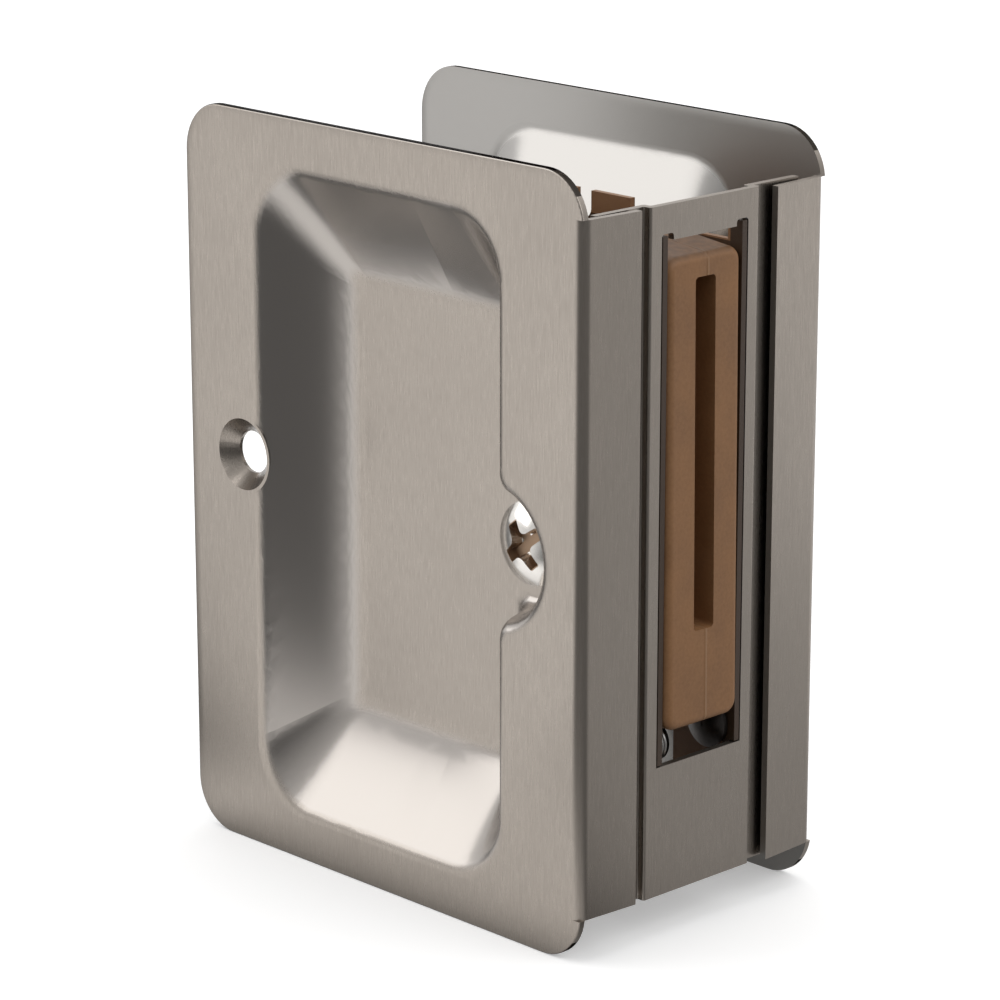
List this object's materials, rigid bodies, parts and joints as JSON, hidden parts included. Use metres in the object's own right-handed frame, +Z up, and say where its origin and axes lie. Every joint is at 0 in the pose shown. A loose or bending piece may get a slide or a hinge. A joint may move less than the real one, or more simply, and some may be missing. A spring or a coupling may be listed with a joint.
{
  "type": "sliding door lock",
  "caption": "Sliding door lock: two drawn finger-cup plates that clamp on the door's faces, a flush edge plate and a sprung pull that swings out of the door's edge.",
  "frame": {"origin": "under the middle of the face plates, at the level of their lower edges, halfway through the lock", "axes": "+Z up along the face plates, +Y from the near cup plate to the far one, through the door's thickness, +X towards the door's edge, where the edge plate and its pull are"},
  "size_m": [0.0705, 0.041, 0.0953],
  "materials": {
    "satin_nickel": "satin nickel plate on stamped steel, fine vertical brushed grain, slightly warm grey",
    "bright_nickel": "polished nickel plate, a little warm, brownish film in the screw's recess",
    "brown_enamel": "brown lacquer on folded steel, bare grey on the sheared edges",
    "brown_plastic": "matte brown moulding, faintly mottled top, thin parting line",
    "dark_steel": "blackened steel with a soft sheen",
    "plain_steel": "plain turned steel",
    "spring_steel": "drawn spring wire, dull grey"
  },
  "bodies": {
    "edge_unit": {"edge_plate": "satin_nickel", "pull_housing": "brown_enamel", "spacer_tube": "plain_steel", "stop_pin": "plain_steel", "near_pivot_rivet": "dark_steel", "far_pivot_rivet": "dark_steel", "spring_bush": "plain_steel", "torsion_spring": "spring_steel"},
    "near_plate": {"near_cup_plate": "satin_nickel", "through_screw": "bright_nickel"},
    "far_plate": {"far_cup_plate": "satin_nickel", "threaded_post": "bright_nickel"},
    "pull": {"edge_pull": "brown_plastic", "pull_yoke": "dark_steel", "yoke_pins": "plain_steel"}
  },
  "joints": [
    {"name": "near_plate_slide", "type": "slide", "parent": "edge_unit", "child": "near_plate", "axis": [0, 1, 0], "range_m": [-0.003, 0.00175]},
    {"name": "far_plate_slide", "type": "slide", "parent": "edge_unit", "child": "far_plate", "axis": [0, 1, 0], "range_m": [-0.00255, 0.0022]},
    {"name": "pull_hinge", "type": "hinge", "parent": "edge_unit", "child": "pull", "pos_m": [0.03107, -0.0004, 0.0236], "axis": [0, 1, 0], "range_deg": [0, 50], "stiffness_Nm_per_rad": 0.016, "springref_deg": -20.05, "deforming": ["torsion_spring"]}
  ]
}
